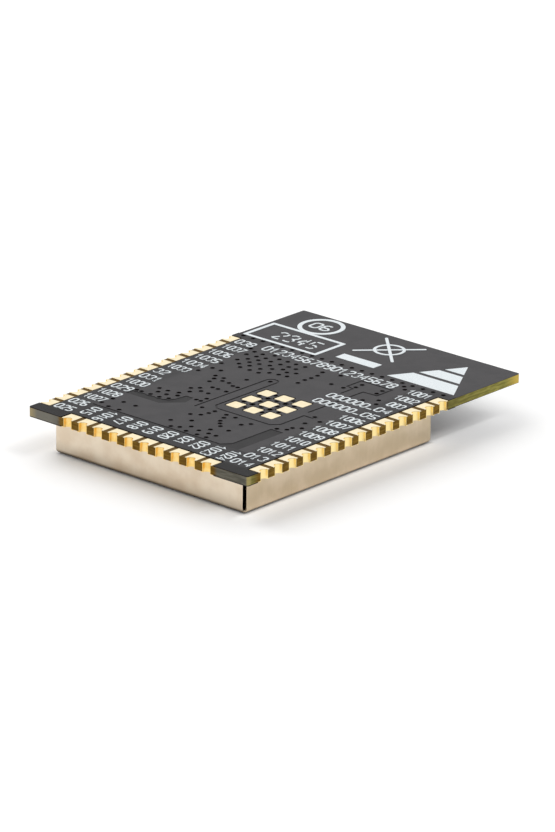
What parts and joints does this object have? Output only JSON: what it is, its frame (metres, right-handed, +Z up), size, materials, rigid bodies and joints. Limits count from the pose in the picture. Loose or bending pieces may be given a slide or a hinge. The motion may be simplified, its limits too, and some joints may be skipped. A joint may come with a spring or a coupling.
{
  "type": "wifi module",
  "caption": "Flat radio circuit module: board with plated half-holes along three edges, a printed antenna at the fourth and a folded metal shield can, lying pad side up.",
  "frame": {"origin": "centre of the board's outline, at the flat face of the can that the module lies on", "axes": "+X across the two pad columns, +Y from the ten-pad end to the antenna end, +Z up out of the solder pads"},
  "size_m": [0.018, 0.0254, 0.0031],
  "materials": {
    "laminate": "cut edge of glass and resin laminate",
    "solder_mask": "black solder mask, semi-matt",
    "gold_plate": "bright gold plating on copper",
    "can_sheet": "plain rolled nickel-silver sheet",
    "solder": "reflowed tin",
    "white_ink": "printed ink",
    "chip_resin": "moulded resin",
    "crystal_ceramic": "matt ceramic",
    "capacitor_ceramic": "matt ceramic"
  },
  "bodies": {
    "root": {"board_laminate": "laminate", "solder_mask_pad_side": "solder_mask", "solder_mask_part_side": "solder_mask", "left_edge_pads": "gold_plate", "right_edge_pads": "gold_plate", "end_edge_pads": "gold_plate", "thermal_pads": "gold_plate", "shield_can": "can_sheet", "shield_solder_seam": "solder", "shield_ground_land": "gold_plate", "antenna_trace": "gold_plate", "legend_ink": "white_ink", "radio_chip": "chip_resin", "radio_chip_terminals": "solder", "memory_chip": "chip_resin", "memory_chip_leads": "solder", "crystal_case": "crystal_ceramic", "crystal_lid": "can_sheet", "capacitor_bodies": "capacitor_ceramic", "capacitor_ends": "solder", "resistor_bodies": "chip_resin", "resistor_ends": "solder", "inductor_bodies": "crystal_ceramic", "inductor_ends": "solder"}
  },
  "joints": []
}
